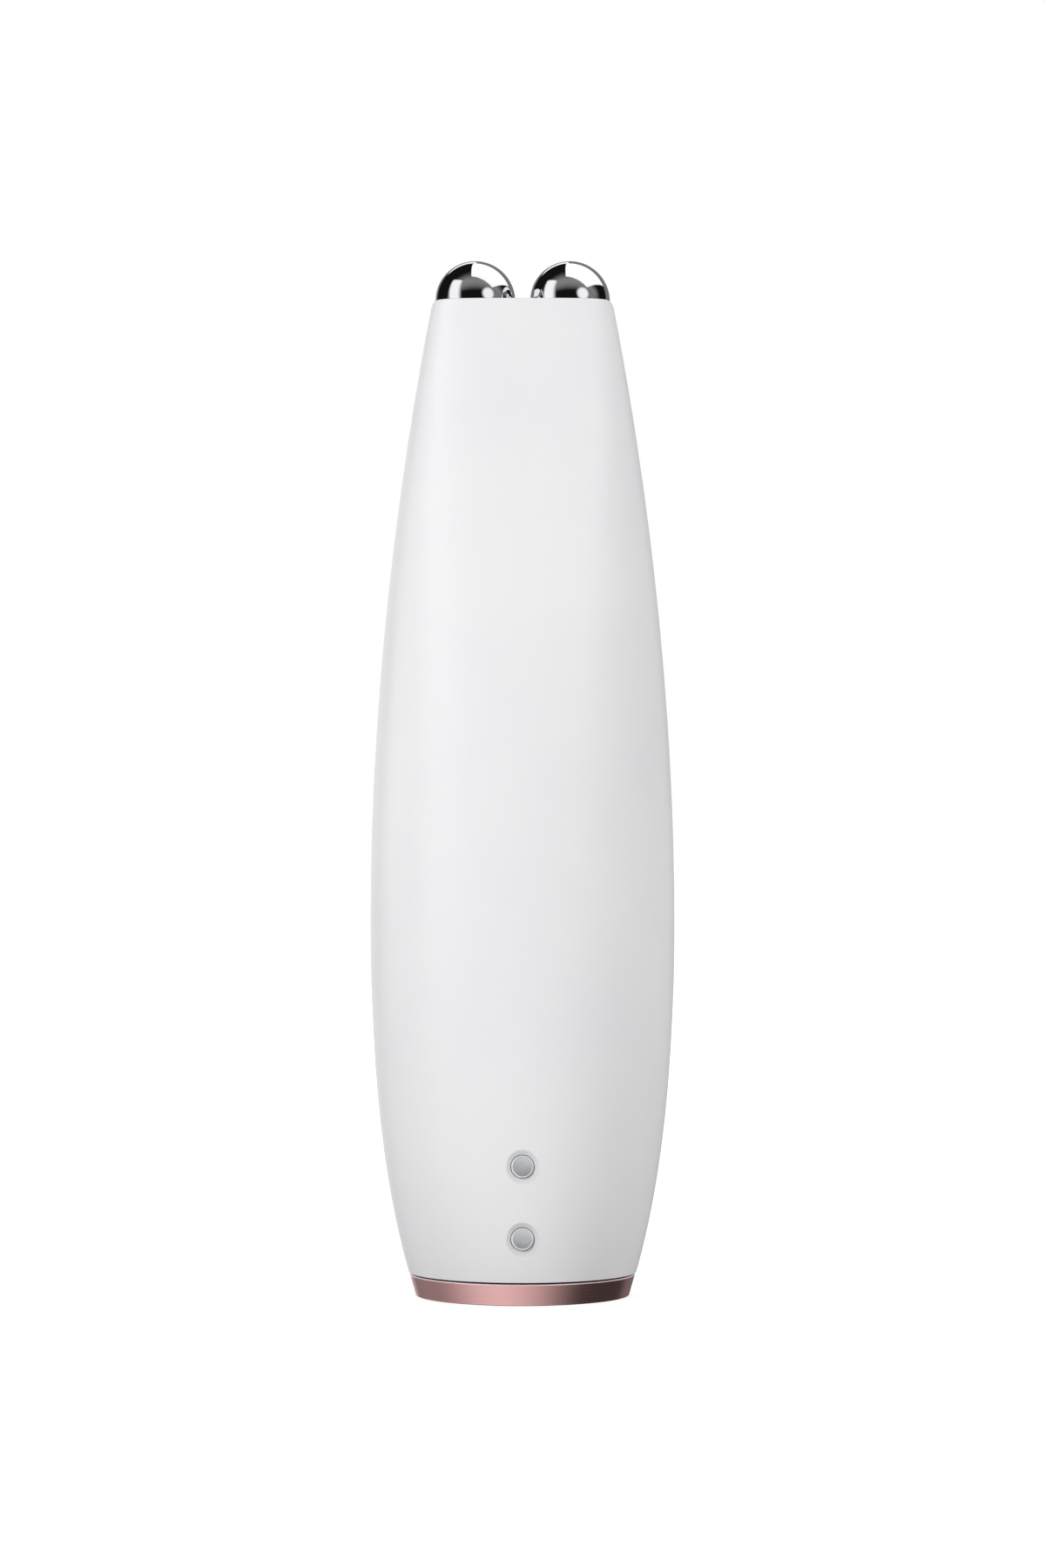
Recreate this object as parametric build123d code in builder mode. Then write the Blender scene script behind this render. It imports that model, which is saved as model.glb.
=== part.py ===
from build123d import *
from math import copysign, cos, pi, sin, tan, radians
import os

# Facial toning device, millimetres. +Z is up, the button side faces -Y and the charging side faces +Y.
# The origin is the centre of the flat bottom of the base cap.

# ---------- housing form ----------
rim_height = 105.5  # flat back part of the head's rim
grip_height = 39.6  # height of the widest section
seam_height = 2.2  # top face of the base cap
seam_gap = 0.3  # shadow gap between cap and housing, filled by the gasket
grip_width = 32.4
grip_depth = 31.1
head_width = 19.1  # housing width at the rim
base_width = 24.1  # housing width at the seam
head_rear_depth = 7.0  # from the middle plane to the back of the rim
head_front_depth = 8.2  # the same for the front, if it ran up to the rim
head_squareness = 4.5  # exponent of the section at the rim; 2 is an ellipse
squaring_curve = 2.5  # how late the section turns square on its way up
upper_curve = 1.95  # power of the taper from grip to rim
lower_curl = 0.31  # share of the base's taper that follows a fourth power
flattening_curve = 2.5  # how late the head flattens on its way up
section_count = 10
points_per_quarter = 6
wall = 1.6
tongue_height = 0.8
fit = 0.05  # small clearance between pieces that seat on each other
slip = 0.12  # clearance between pieces that slide into place

# ---------- head ----------
head_tilt = 35  # slope of the head face towards the button side, degrees
crest_y = 3.5  # where the flat back of the rim turns into the slope
crest_radius = 6.0
rim_rounding = 0.2  # rounding of the housing's edge round the head face
rim_tolerance = 0.03  # how closely an edge must lie on the outside to be rounded with the rim
bezel_recess = 0.3
bezel_thickness = 2.4
ledge_width = 1.0
ledge_thickness = 1.0
ball_radius = 4.28
ball_spacing = 10.08
ball_rise = 0.34  # the balls' centres above the rim
stud_radius = 1.25
stud_length = 9.6
stud_grip = 3.0  # length of stud inside the ball
boss_radius = 2.8
collar_radius = 1.85
collar_flange_radius = 2.6
collar_flange = 0.6
nut_width = 4.4
nut_height = 2.0

# ---------- base ----------
cap_step = 0.32  # the cap is this much narrower than the housing, each side
cap_lean = 0.5  # how far the cap's side leans in towards its foot
cap_floor = 1.4
cap_edge = 0.7  # rounding of the cap's foot
cap_bevel = 0.18  # bright bevel along the cap's top edge
flange_thickness = 1.2
flange_reach = 2.6  # from the housing's outer face to the edge of the base opening
hook_height = 0.8
hook_reach = 0.45
hook_wall = 1.2
hook_slot = 1.6
gasket_inset = 0.25

# ---------- boards, chassis and button ----------
board_inset = 6.35  # from the housing's face at the button to the front of the main board
board_thickness = 1.0
board_width = 14.4
board_bottom = 19.5
board_top = 91.0
board_corner = 1.5
post_x = 5.2
post_heights = (28.0, 78.0)
post_radius = 2.1
screw_radius = 0.8
screw_head_radius = 1.5
screw_head_height = 1.0
screw_length = 5.6
chassis_thickness = 1.2
chassis_bottom = 23.5
chassis_top = 88.5
saddle_wall = 1.2
saddle_height = 4.0
button_height = 60.0
button_radius = 5.2
button_gap = 0.25
button_travel = 0.3
button_flange_radius = 6.2
button_flange = 0.8
button_inset = 2.45  # from the same face to the seat that the button's flange rests on
button_dish_radius = 26.0
button_dish_depth = 0.25
trim_width = 0.9
trim_depth = 1.5
trim_proud = 0.12
guide_wall = 0.8
guide_height = 1.0
switch_width = 4.6
switch_height = 1.9
plunger_radius = 1.2
plunger_out = 0.7
plunger_in = 0.5
plunger_running = 0.05
window_above_button = 14.0
window_width = 1.4
window_length = 4.0
window_rim = 0.6
window_flange = 0.6
window_inset = 2.16  # from the housing's face at the window to the window's seat
light_gap = 0.3
light_size = 1.6
light_height = 0.6
chip_height = 45.0
chip_width = 5.0
chip_thickness = 0.9
coil_height = 34.0
coil_width = 5.0
coil_corner = 1.0
coil_thickness = 1.6
coil_core_radius = 1.2
coil_core_depth = 0.2
capacitor_x = 4.6
capacitor_pitch = 2.4
capacitor_width = 0.8
capacitor_length = 1.6

# ---------- cell and motor ----------
cell_room = 16.9  # the grip's depth that walls, boards, chassis and pad take; the cell has the rest
cell_length = 50.0
cell_bottom = 25.5
cell_gap = 0.15
cell_terminal_radius = 2.4
cell_terminal_height = 1.0
cell_edge = 0.6
guard_thickness = 0.8
pad_thickness = 1.5
pad_width = 10.0
pad_length = 36.0
rib_thickness = 1.0
rib_width = 14.0
rib_pitch = 14.0
motor_radius = 3.5
motor_length = 10.0
motor_bottom = 80.0
motor_wall = 0.4
end_cap_thickness = 1.0
boot_wall = 0.6
shaft_radius = 0.5
shaft_running = 0.05
shaft_out = 4.0
winding_radius = 2.7
winding_wall = 0.5
winding_gap = 0.6
magnet_tube_radius = 1.9
magnet_tube_bore = 0.8
weight_radius = 3.0
weight_hub_radius = 1.1
weight_height = 3.0
weight_lift = 0.6

# ---------- charging side ----------
pin_heights = (14.8, 7.16)
pin_radius = 1.2
pin_recess = 0.05
pin_flange_radius = 1.8
pin_flange = 0.5
pin_body_radius = 0.8
pin_tail_radius = 0.4
pin_bevel = 0.2
dish_radius = 1.85
dish_depth = 0.42
seal_thickness = 0.56
pin_boss_radius = 2.6
pin_boss_length = 1.6
magnet_radius = 2.0
magnet_thickness = 1.5
magnet_x = 4.6
magnet_wall = 0.8
magnet_inset = 3.58  # from the housing's face at the lower pin to the magnets' inner face
charge_board_inset = 4.78  # from the same face to the charging board
charge_board_thickness = 0.8
charge_board_width = 11.0
charge_board_bottom = 5.3
charge_board_top = 17.6
stake_x = 4.3
stake_heights = (6.7, 16.2)
stake_radius = 1.1
stake_peg_radius = 0.55
stake_peg_length = 1.3

# ---------- snaps ----------
snap_heights = (24.0, 66.0)
snap_width = 5.0
snap_thickness = 1.0
snap_root = 3.0
snap_reach = 3.0
snap_hook = 0.5
snap_hook_length = 0.9
snap_clearance = 0.15

# ---------- leads ----------
lead_radius = 0.5
lead_bend = 1.6
lead_drop = 2.0
lead_x = 1.6
charge_lead_x = 3.0
pad_height = 21.5

far = 40.0  # larger than the housing in any direction across it

os.makedirs("parts", exist_ok=True)


def finish(piece, name):
    """Labels a finished piece and writes its STEP file."""
    piece.part.label = name
    export_step(piece.part, f"parts/{name}.step")


# ---------- the housing's outline as functions of height ----------
def rise(z):
    """How far z lies between the grip and the rim: 0 at or below the grip, 1 at the rim."""
    return max(0.0, (z - grip_height) / (rim_height - grip_height))


def half_width(z):
    """Half the housing's width: a power curve from the grip up to the rim, and below the grip a mix of a
    square and a fourth power down to the seam."""
    if z >= grip_height:
        return grip_width / 2 - (grip_width - head_width) / 2 * rise(z) ** upper_curve
    drop = (grip_height - z) / (grip_height - seam_height)
    narrowing = (1 - lower_curl) * drop**2 + lower_curl * drop**4
    return grip_width / 2 - (grip_width - base_width) / 2 * narrowing


def half_depth(z, head_depth):
    """Half the depth on one side: the width times the grip's proportions, less what the head gives up."""
    proportion = grip_depth / grip_width
    given_up = head_width / 2 * proportion - head_depth
    return half_width(z) * proportion - given_up * rise(z) ** flattening_curve


def squareness(z):
    """Exponent n of the section |x/a|^n + |y/b|^n = 1: an ellipse up to the grip, squarer towards the rim."""
    return 2 + (head_squareness - 2) * rise(z) ** squaring_curve


def section_side(z, inset, side, head_depth):
    """Points of one half of the section: side 1 is the rear half, from +X to -X, and -1 the front half."""
    a = half_width(z) - inset
    b = half_depth(z, head_depth) - inset
    power = 2 / squareness(z)
    steps = 2 * points_per_quarter
    points = [(side * a, 0)]
    for step in range(1, steps):
        angle = pi * step / steps
        x = copysign(abs(cos(angle)) ** power, cos(angle)) if 2 * step != steps else 0
        points.append((side * a * x, side * b * sin(angle) ** power))
    return points + [(-side * a, 0)]


def depth_at(x, z, head_depth, inset=0.0):
    """Distance of the housing's surface from the middle plane at a given x and z."""
    n = squareness(z)
    share = 1 - abs(x / (half_width(z) - inset)) ** n
    return (half_depth(z, head_depth) - inset) * share ** (1 / n)


def rear_normal(z):
    """Unit vector square to the housing's rear face on its middle line at height z."""
    lean = depth_at(0, z + 0.5, head_rear_depth) - depth_at(0, z - 0.5, head_rear_depth)
    return Vector(0, 1, -lean).normalized()


def snap_face(z):
    """Distance from the middle of the outer face of a snap tab at height z: it just clears the rear shell."""
    reach = half_depth(z, head_rear_depth) - wall
    return (half_width(z) - wall) * (1 - (snap_reach / reach) ** 2) ** 0.5 - snap_clearance


def on_outer_rim(edge):
    """True for an edge where the head face meets the outside of the housing."""
    point = edge @ 0.5
    depth = half_depth(point.Z, head_rear_depth if point.Y > 0 else head_front_depth)
    n = squareness(point.Z)
    reach = abs(point.X / half_width(point.Z)) ** n + abs(point.Y / depth) ** n
    slope_top = rim_height - max(0.0, crest_y - point.Y) * tan(radians(head_tilt))
    return abs(reach - 1) < rim_tolerance and point.Z > slope_top - crest_radius / 10


def housing_form(inset, bottom, top):
    """Solid loft of the housing's sections, each drawn in by the inset."""
    with BuildPart() as form:
        for step in range(section_count + 1):
            z = bottom + (top - bottom) * step / section_count
            with BuildSketch(Plane.XY.offset(z)):
                with BuildLine():
                    for side, head_depth in ((1, head_rear_depth), (-1, head_front_depth)):
                        Spline(
                            *section_side(z, inset, side, head_depth),
                            tangents=[(0, side), (0, -side)],
                            tangent_scalars=(1, 1),
                        )
                make_face()
        loft()
    return form.part


def head_space(drop):
    """Everything above the head face when the face is lowered by drop: flat at the back, then a rounded crest
    and a slope down to the front."""
    z = rim_height - drop
    with BuildPart() as space:
        with BuildSketch(Plane.YZ):
            with BuildLine():
                FilletPolyline(
                    (far, z),
                    (crest_y, z),
                    (crest_y - far, z - far * tan(radians(head_tilt))),
                    radius=crest_radius,
                )
                Polyline((crest_y - far, z - far * tan(radians(head_tilt))), (crest_y - far, z + far))
                Polyline((crest_y - far, z + far), (far, z + far))
                Polyline((far, z + far), (far, z))
            make_face()
        extrude(amount=far, both=True)
    return space.part


def middle_slab(depth):
    """The slab just behind the parting plane, as deep as the tongue reaches."""
    with BuildPart() as slab:
        with BuildSketch(Plane.XZ):
            with Locations((0, rim_height / 2)):
                Rectangle(far * 2, rim_height * 2)
        extrude(amount=-depth)
    return slab.part


ball_height = rim_height + ball_rise
ball_offsets = {"left": -ball_spacing / 2, "right": ball_spacing / 2}
ball_centres = [(x, 0, ball_height) for x in ball_offsets.values()]
ball_columns = [(x, 0) for x in ball_offsets.values()]

# Where the inner pieces stand, counted from the housing's faces.
button_face_depth = depth_at(0, button_height, head_front_depth)
post_face = board_inset - button_face_depth
button_landing = button_inset - button_face_depth
window_height = button_height + window_above_button
window_landing = window_inset - depth_at(0, window_height, head_front_depth)
cell_radius = (grip_depth - cell_room) / 2
pin_face_depth = depth_at(0, pin_heights[1], head_rear_depth)
magnet_roof = pin_face_depth - magnet_inset
charge_board_face = pin_face_depth - charge_board_inset

# The two halves share one shell: outer form less cavity, with the base flange and the bezel ledge inside it.
housing_bottom = seam_height + seam_gap
flange_top = housing_bottom + flange_thickness
form_top = rim_height + 1.5
outer_form = housing_form(0, housing_bottom, form_top)
cavity_form = housing_form(wall, flange_top, form_top)
ledge_hole_form = housing_form(wall + ledge_width, flange_top, form_top)
joint_form = housing_form(wall / 2, flange_top, form_top)
joint_tongue_form = housing_form(wall / 2 + fit, flange_top, form_top)
above_head = head_space(0)
below_bezel = bezel_recess + bezel_thickness + fit
opening_half_width = half_width(housing_bottom) - flange_reach
opening_half_depth = half_depth(housing_bottom, head_rear_depth) - flange_reach

with BuildPart() as ledge:
    add(cavity_form)
    add(ledge_hole_form, mode=Mode.SUBTRACT)
    add(head_space(below_bezel), mode=Mode.SUBTRACT)
    add(head_space(below_bezel + ledge_thickness), mode=Mode.INTERSECT)

with BuildPart() as shell_pair:
    add(outer_form)
    add(cavity_form, mode=Mode.SUBTRACT)
    add(ledge.part)
    add(above_head, mode=Mode.SUBTRACT)
    with BuildSketch(Plane.XY.offset(housing_bottom)):
        Ellipse(opening_half_width, opening_half_depth)
    extrude(amount=flange_thickness, mode=Mode.SUBTRACT)
    with Locations(*ball_centres):
        Sphere(ball_radius + slip, mode=Mode.SUBTRACT)

# ---------- rear shell ----------
board_rear = post_face + board_thickness
chassis_front = board_rear + fit
chassis_rear = chassis_front + chassis_thickness
cell_y = chassis_rear + cell_gap + cell_radius
cell_middle = cell_bottom + cell_length / 2
pad_front = cell_y + cell_radius + fit
pad_rear = pad_front + pad_thickness
charge_board_rear = charge_board_face + charge_board_thickness
magnet_height = sum(pin_heights) / 2
magnet_offsets = [(-magnet_x, magnet_height), (magnet_x, magnet_height)]
stake_offsets = [(x, z) for x in (-stake_x, stake_x) for z in stake_heights]
facing_back = Plane((0, 0, 0), x_dir=(-1, 0, 0), z_dir=(0, 1, 0))

with BuildPart() as rear_fittings:
    for rib in (-1, 0, 1):
        with BuildSketch(facing_back.offset(pad_rear + fit)):
            with Locations((0, cell_middle + rib * rib_pitch)):
                Rectangle(rib_width, rib_thickness)
        extrude(amount=far)
    for z in pin_heights:
        with BuildSketch(facing_back.offset(depth_at(0, z, head_rear_depth) - wall - pin_boss_length)):
            with Locations((0, z)):
                Circle(pin_boss_radius)
        extrude(amount=far)
    with BuildSketch(facing_back.offset(magnet_roof)):
        with Locations(*magnet_offsets):
            Circle(magnet_radius + magnet_wall)
    extrude(amount=far)
    with BuildSketch(facing_back.offset(charge_board_rear + fit)):
        with Locations(*stake_offsets):
            Circle(stake_radius)
    extrude(amount=far)
    add(housing_form(wall / 2, housing_bottom, form_top), mode=Mode.INTERSECT)

with BuildPart() as rebate:
    add(joint_form)
    add(middle_slab(tongue_height + slip), mode=Mode.INTERSECT)

with BuildPart() as snap_pockets:
    for z in snap_heights:
        for side in (-1, 1):
            with BuildSketch(Plane.XY.offset(z - snap_width / 2 - slip)):
                with Locations((side * snap_face(z), snap_reach - snap_hook_length / 2)):
                    Rectangle(2 * (snap_hook + slip), snap_hook_length + 2 * slip)
            extrude(amount=snap_width + 2 * slip)

with BuildPart() as rear_shell:
    add(shell_pair.part)
    split(bisect_by=Plane.XZ, keep=Keep.BOTTOM)
    add(rear_fittings.part)
    with BuildSketch(facing_back.offset(charge_board_rear - stake_peg_length)):
        with Locations(*stake_offsets):
            Circle(stake_peg_radius)
    extrude(amount=stake_peg_length + stake_radius)
    # a dish round each charging contact, with its stepped bore
    for z in pin_heights:
        face = depth_at(0, z, head_rear_depth)
        ball = (dish_radius**2 + dish_depth**2) / (2 * dish_depth)
        with Locations(Vector(0, face, z) + rear_normal(z) * (ball - dish_depth)):
            Sphere(ball, mode=Mode.SUBTRACT)
        with BuildSketch(facing_back.offset(face)):
            with Locations((0, z)):
                Circle(pin_radius + fit)
        extrude(amount=wall, both=True, mode=Mode.SUBTRACT)
        with BuildSketch(facing_back.offset(face - wall - pin_boss_length)):
            with Locations((0, z)):
                Circle(pin_flange_radius + slip)
        extrude(amount=pin_boss_length, mode=Mode.SUBTRACT)
    with BuildSketch(facing_back.offset(magnet_roof)):
        with Locations(*magnet_offsets):
            Circle(magnet_radius + fit)
    extrude(amount=magnet_thickness + fit, mode=Mode.SUBTRACT)
    add(rebate.part, mode=Mode.SUBTRACT)
    add(snap_pockets.part, mode=Mode.SUBTRACT)
    fillet(rear_shell.edges().filter_by(on_outer_rim), rim_rounding)
finish(rear_shell, "rear_shell")

# ---------- front shell ----------
board_front = post_face
plunger_tip = board_front - switch_height - plunger_out
post_offsets = [(x, z) for x in (-post_x, post_x) for z in post_heights]
trim_radius = button_radius + button_gap + trim_width
trim_seat = -depth_at(0, button_height, head_front_depth) + trim_depth

with BuildPart() as tongue:
    add(joint_tongue_form)
    add(cavity_form, mode=Mode.SUBTRACT)
    add(above_head, mode=Mode.SUBTRACT)
    add(middle_slab(tongue_height), mode=Mode.INTERSECT)
    with Locations(*ball_centres):
        Sphere(ball_radius + slip, mode=Mode.SUBTRACT)

with BuildPart() as front_fittings:
    with BuildSketch(Plane.XZ.offset(-post_face + fit)):
        with Locations(*post_offsets):
            Circle(post_radius)
    extrude(amount=far)
    with BuildSketch(Plane.XZ.offset(-button_landing)):
        with Locations((0, button_height)):
            Circle(button_flange_radius + slip + guide_wall)
    extrude(amount=far)
    with BuildSketch(Plane.XZ.offset(-button_landing - guide_height)):
        with Locations((0, button_height)):
            Circle(button_flange_radius + slip + guide_wall)
            Circle(button_flange_radius + slip, mode=Mode.SUBTRACT)
    extrude(amount=guide_height)
    with BuildSketch(Plane.XZ.offset(-window_landing)):
        with Locations((0, window_height)):
            Rectangle(window_width + 2 * (window_rim + wall), window_length + 2 * (window_rim + wall))
    extrude(amount=far)
    add(housing_form(wall / 2, housing_bottom, form_top), mode=Mode.INTERSECT)

with BuildPart() as snap_tabs:
    for z in snap_heights:
        for side in (-1, 1):
            face = snap_face(z)
            with BuildSketch(Plane.XY.offset(z - snap_width / 2)):
                with BuildLine():
                    Polyline(
                        (side * (face - snap_thickness), snap_reach),
                        (side * (face - snap_thickness), -snap_root),
                        (side * (face + wall / 2), -snap_root),
                        (side * (face + wall / 2), -fit),
                        (side * face, -fit),
                        (side * face, snap_reach - snap_hook_length),
                        (side * (face + snap_hook), snap_reach - snap_hook_length),
                        (side * face, snap_reach),
                        close=True,
                    )
                make_face()
            extrude(amount=snap_width)

with BuildPart() as front_shell:
    add(shell_pair.part)
    split(bisect_by=Plane.XZ, keep=Keep.TOP)
    add(front_fittings.part)
    add(tongue.part)
    add(snap_tabs.part)
    # the button's opening, with a pocket inside for its flange and a seat outside for the trim ring
    with BuildSketch(Plane.XZ.offset(-button_landing)):
        with Locations((0, button_height)):
            Circle(button_flange_radius + slip)
    extrude(amount=-guide_height, mode=Mode.SUBTRACT)
    with BuildSketch(Plane.XZ):
        with Locations((0, button_height)):
            Circle(button_radius + button_gap)
    extrude(amount=far, mode=Mode.SUBTRACT)
    with BuildSketch(Plane.XZ.offset(-trim_seat)):
        with Locations((0, button_height)):
            Circle(trim_radius + fit)
    extrude(amount=far, mode=Mode.SUBTRACT)
    with BuildSketch(Plane.XZ):
        with Locations((0, window_height)):
            SlotOverall(window_length + 2 * fit, window_width + 2 * fit, rotation=90)
    extrude(amount=far, mode=Mode.SUBTRACT)
    with BuildSketch(Plane.XZ.offset(-post_face)):
        with Locations(*post_offsets):
            Circle(screw_radius + fit)
    extrude(amount=screw_length - board_thickness - chassis_thickness, mode=Mode.SUBTRACT)
    fillet(front_shell.edges().filter_by(on_outer_rim), rim_rounding)
finish(front_shell, "front_shell")

# ---------- power button, trim ring, light window ----------
flange_front = button_landing + fit
flange_back = flange_front + button_flange
button_face = -depth_at(0, button_height, head_front_depth, slip)

with BuildPart() as power_button:
    with BuildSketch(Plane.XZ.offset(-flange_front)):
        with Locations((0, button_height)):
            Circle(button_radius)
    extrude(amount=far)
    add(housing_form(slip, housing_bottom, form_top), mode=Mode.INTERSECT)
    with Locations((0, button_face + button_dish_depth - button_dish_radius, button_height)):
        Sphere(button_dish_radius, mode=Mode.SUBTRACT)
    with BuildSketch(Plane.XZ.offset(-flange_back)):
        with Locations((0, button_height)):
            Circle(button_flange_radius)
    extrude(amount=button_flange)
    with BuildSketch(Plane.XZ.offset(-plunger_tip + fit)):
        with Locations((0, button_height)):
            Circle(plunger_radius)
    extrude(amount=plunger_tip - flange_back + button_flange / 2)
finish(power_button, "power_button")

with BuildPart() as button_trim_ring:
    with BuildSketch(Plane.XZ.offset(-trim_seat + fit)):
        with Locations((0, button_height)):
            Circle(trim_radius)
            Circle(trim_radius - trim_width, mode=Mode.SUBTRACT)
    extrude(amount=far)
    add(housing_form(-trim_proud, housing_bottom, form_top), mode=Mode.INTERSECT)
finish(button_trim_ring, "button_trim_ring")

light_top = board_front - light_height - fit
with BuildPart() as light_window:
    with BuildSketch(Plane.XZ.offset(-light_top + light_gap)):
        with Locations((0, window_height)):
            SlotOverall(window_length, window_width, rotation=90)
    extrude(amount=far)
    add(housing_form(0, housing_bottom, form_top), mode=Mode.INTERSECT)
    with BuildSketch(Plane.XZ.offset(-window_landing - fit - window_flange)):
        with Locations((0, window_height)):
            Rectangle(window_width + 2 * window_rim, window_length + 2 * window_rim)
    extrude(amount=window_flange)
finish(light_window, "light_window")

# ---------- head: bezel and electrodes ----------
plate_drop = bezel_recess + bezel_thickness + (crest_y + boss_radius) * tan(radians(head_tilt))
boss_face = rim_height - plate_drop - fit
stud_top = ball_height - ball_radius + stud_grip
stud_bottom = stud_top - stud_length
collar_top = ball_height - ball_radius - fit
collar_bottom = boss_face - fit - collar_flange
nut_top = collar_bottom - fit

with BuildPart() as bezel_bosses:
    with BuildSketch(Plane.XY.offset(boss_face)):
        with Locations(*ball_columns):
            Circle(boss_radius)
    extrude(amount=far)
    add(head_space(bezel_recess + bezel_thickness / 2), mode=Mode.SUBTRACT)

with BuildPart() as head_bezel:
    add(housing_form(wall + slip, flange_top, form_top))
    add(head_space(bezel_recess), mode=Mode.SUBTRACT)
    add(head_space(bezel_recess + bezel_thickness), mode=Mode.INTERSECT)
    add(bezel_bosses.part)
    with Locations(*ball_centres):
        Sphere(ball_radius + fit, mode=Mode.SUBTRACT)
    with BuildSketch(Plane.XY.offset(boss_face)):
        with Locations(*ball_columns):
            Circle(collar_radius + fit)
    extrude(amount=ball_radius, mode=Mode.SUBTRACT)
finish(head_bezel, "head_bezel")

for hand, x in ball_offsets.items():
    with BuildPart(Plane.XY.offset(ball_height)) as electrode_ball:
        with Locations((x, 0, 0)):
            Sphere(ball_radius)
        with BuildSketch(Plane.XY.offset(ball_height - 2 * ball_radius)):
            with Locations((x, 0)):
                Circle(stud_radius)
        extrude(amount=ball_radius + stud_grip + fit, mode=Mode.SUBTRACT)
    finish(electrode_ball, f"electrode_ball_{hand}")

    with BuildPart() as electrode_stud:
        with BuildSketch(Plane.XY.offset(stud_bottom)):
            with Locations((x, 0)):
                Circle(stud_radius)
        extrude(amount=stud_length)
        chamfer(electrode_stud.edges().group_by(Axis.Z)[0], stud_radius / 4)
    finish(electrode_stud, f"electrode_stud_{hand}")

    with BuildPart() as electrode_collar:
        with BuildSketch(Plane.XY.offset(collar_bottom)):
            with Locations((x, 0)):
                Circle(collar_flange_radius)
        extrude(amount=collar_flange)
        with BuildSketch(Plane.XY.offset(collar_bottom)):
            with Locations((x, 0)):
                Circle(collar_radius)
        extrude(amount=collar_top - collar_bottom)
        with Locations((x, 0, ball_height)):
            Sphere(ball_radius + fit, mode=Mode.SUBTRACT)
        with BuildSketch(Plane.XY.offset(collar_bottom)):
            with Locations((x, 0)):
                Circle(stud_radius + fit)
        extrude(amount=ball_radius, mode=Mode.SUBTRACT)
    finish(electrode_collar, f"electrode_collar_{hand}")

with BuildPart() as electrode_nuts:
    with BuildSketch(Plane.XY.offset(nut_top - nut_height)):
        with Locations(*ball_columns):
            RegularPolygon(nut_width / 2, 6, major_radius=False)
            Circle(stud_radius, mode=Mode.SUBTRACT)
    extrude(amount=nut_height)
finish(electrode_nuts, "electrode_nuts")

# ---------- base cap and gasket ----------
proportion = grip_depth / grip_width
cap_half_width = half_width(seam_height) - cap_step
collar_half_width = opening_half_width - slip
collar_half_depth = opening_half_depth - slip
hook_bottom = flange_top + slip

with BuildPart() as base_cap:
    with BuildSketch():
        Ellipse(cap_half_width - cap_lean, (cap_half_width - cap_lean) * proportion)
    with BuildSketch(Plane.XY.offset(seam_height)):
        Ellipse(cap_half_width, cap_half_width * proportion)
    loft(ruled=True)
    fillet(base_cap.edges().group_by(Axis.Z)[0], cap_edge)
    chamfer(base_cap.edges().group_by(Axis.Z)[-1], cap_bevel)
    with BuildSketch(Plane.XY.offset(cap_floor)):
        Ellipse(collar_half_width, collar_half_depth)
    extrude(amount=hook_bottom - cap_floor)
    with BuildSketch(Plane.XY.offset(hook_bottom)):
        Ellipse(collar_half_width + hook_reach, collar_half_depth + hook_reach)
    extrude(amount=hook_height)
    chamfer(base_cap.edges().group_by(Axis.Z)[-1], hook_reach)
    with BuildSketch(Plane.XY.offset(cap_floor)):
        Ellipse(collar_half_width - hook_wall, collar_half_depth - hook_wall)
    extrude(amount=far, mode=Mode.SUBTRACT)
    # slots that part the collar into four sprung hooks
    with BuildSketch(Plane.XY.offset(seam_height + fit)):
        Rectangle(far, hook_slot, rotation=45)
        Rectangle(far, hook_slot, rotation=-45)
    extrude(amount=far, mode=Mode.SUBTRACT)
finish(base_cap, "base_cap")

with BuildPart() as base_gasket:
    with BuildSketch(Plane.XY.offset(seam_height)):
        Ellipse(cap_half_width - gasket_inset, (cap_half_width - gasket_inset) * proportion)
        Ellipse(collar_half_width + fit, collar_half_depth + fit, mode=Mode.SUBTRACT)
    extrude(amount=seam_gap)
finish(base_gasket, "base_gasket")

# ---------- chassis, boards and what they carry ----------
motor_y = chassis_rear + fit + boot_wall + motor_radius
boot_radius = motor_radius + boot_wall
motor_top = motor_bottom + motor_length
motor_pad = motor_bottom - lead_drop
saddles = (
    (cell_y, cell_radius + cell_gap, cell_middle - rib_pitch),
    (cell_y, cell_radius + cell_gap, cell_middle + rib_pitch),
    (motor_y, boot_radius + fit, (motor_bottom + motor_top) / 2),
)

with BuildPart() as chassis:
    with BuildSketch(Plane.XZ.offset(-chassis_front)):
        with Locations((0, (chassis_bottom + chassis_top) / 2)):
            RectangleRounded(board_width, chassis_top - chassis_bottom, board_corner)
    extrude(amount=-chassis_thickness)
    for centre, radius, middle in saddles:
        with BuildSketch(Plane.XY.offset(middle - saddle_height / 2)):
            with Locations((0, centre)):
                Circle(radius + saddle_wall)
            with Locations((0, (chassis_front + centre) / 2)):
                Rectangle(board_width, centre - chassis_front, mode=Mode.INTERSECT)
            with Locations((0, centre)):
                Circle(radius, mode=Mode.SUBTRACT)
        extrude(amount=saddle_height)
    with BuildSketch(Plane.XZ.offset(-chassis_front)):
        with Locations(*post_offsets):
            Circle(screw_radius + fit)
        with Locations((0, motor_pad)):
            Rectangle(2 * (lead_x + 2 * lead_radius), 4 * lead_radius)
    extrude(amount=-chassis_thickness, mode=Mode.SUBTRACT)
finish(chassis, "chassis")

with BuildPart() as main_board:
    with BuildSketch(Plane.XZ.offset(-board_rear)):
        with Locations((0, (board_bottom + board_top) / 2)):
            RectangleRounded(board_width, board_top - board_bottom, board_corner)
        with Locations(*post_offsets):
            Circle(screw_radius + fit, mode=Mode.SUBTRACT)
    extrude(amount=board_thickness)
finish(main_board, "main_board")

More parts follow.
